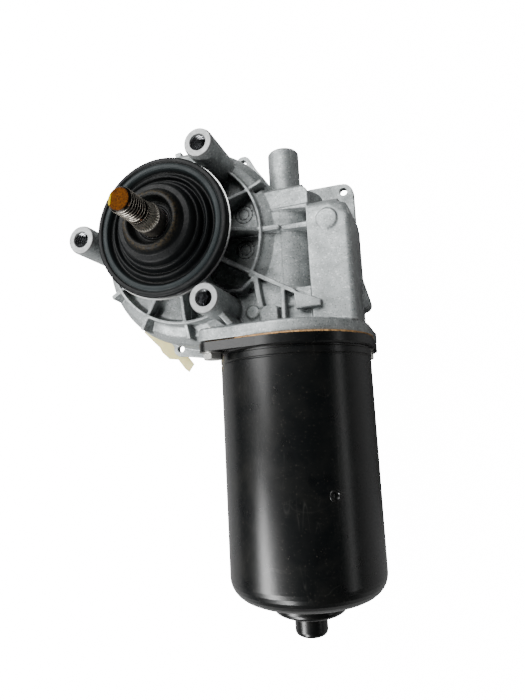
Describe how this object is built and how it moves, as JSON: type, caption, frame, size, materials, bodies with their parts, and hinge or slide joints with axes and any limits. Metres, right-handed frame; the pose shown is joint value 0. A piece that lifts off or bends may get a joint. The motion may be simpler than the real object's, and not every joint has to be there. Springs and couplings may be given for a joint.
{
  "type": "wiper motor",
  "caption": "Car wiper motor: ribbed die-cast worm-gear case, black steel motor can, rubber-sealed output spindle and tapped mounting bosses",
  "frame": {"origin": "on the output spindle's axis, in the plane of the tops of the mounting bosses", "axes": "+Z along the output spindle, out of the rubber seal; +Y along the motor axis, from the can towards the gear case; +X from the spindle towards the motor axis"},
  "size_m": [0.1226, 0.2191, 0.1051],
  "materials": {
    "cast_aluminium": "satin",
    "grey_gasket": "matte",
    "steel": "satin",
    "black_paint": "satin",
    "brown_gasket": "matte",
    "zinc_bolt": "satin",
    "black_rubber": "satin",
    "plated_plate": "satin",
    "bronze": "matte",
    "ferrite": "matte",
    "laminate": "matte",
    "brass": "satin",
    "carbon": "matte",
    "copper": "satin",
    "pale_plastic": "matte",
    "polished_steel": "polished",
    "black_plastic": "matte",
    "tag_film": "matte",
    "worm_steel": "satin",
    "core_steel": "matte",
    "enamelled_copper": "gloss",
    "shaft_steel": "matte"
  },
  "bodies": {
    "case": {"gear_housing": "cast_aluminium", "rear_cover": "cast_aluminium", "cover_gasket": "grey_gasket", "cover_screws": "steel", "motor_can": "black_paint", "can_gasket": "brown_gasket", "can_bolts": "zinc_bolt", "bolt_washers": "zinc_bolt", "rubber_seal": "black_rubber", "seal_plate": "plated_plate", "upper_bush": "bronze", "lower_bush": "bronze", "shaft_o_ring": "black_rubber", "field_magnets": "ferrite", "magnet_clips": "steel", "brush_plate": "laminate", "brush_plate_screws": "steel", "brush_holders": "brass", "carbon_brushes": "carbon", "brush_springs": "steel", "suppression_chokes": "copper", "can_end_bush": "bronze", "bush_retainer": "steel", "end_thrust_pad": "pale_plastic", "bearing_outer_race": "steel", "bearing_balls": "polished_steel", "bearing_clip": "steel", "worm_end_bush": "bronze", "worm_thrust_pad": "pale_plastic", "connector_socket": "black_plastic", "connector_pins": "brass", "supply_leads": "copper", "contact_carrier": "black_plastic", "park_contacts": "brass", "rear_tag": "tag_film"},
    "armature": {"armature_shaft": "steel", "worm": "worm_steel", "armature_core": "core_steel", "armature_windings": "enamelled_copper", "commutator": "copper", "bearing_inner_race": "steel", "thrust_ball": "polished_steel"},
    "output": {"output_shaft": "shaft_steel", "worm_wheel": "pale_plastic", "drive_hub": "steel", "contact_disc": "brass", "shaft_circlip": "steel", "shaft_washers": "steel"}
  },
  "joints": [
    {"name": "armature_spin", "type": "hinge", "parent": "case", "child": "armature", "pos_m": [0.04326, 0, -0.042], "axis": [0, 1, 0], "continuous": true},
    {"name": "output_spin", "type": "hinge", "parent": "case", "child": "output", "pos_m": [0, 0, 0], "axis": [0, 0, 1], "continuous": true}
  ],
  "couplings": [
    {"joint": "output_spin", "follows": "armature_spin", "ratio": -0.020833}
  ]
}
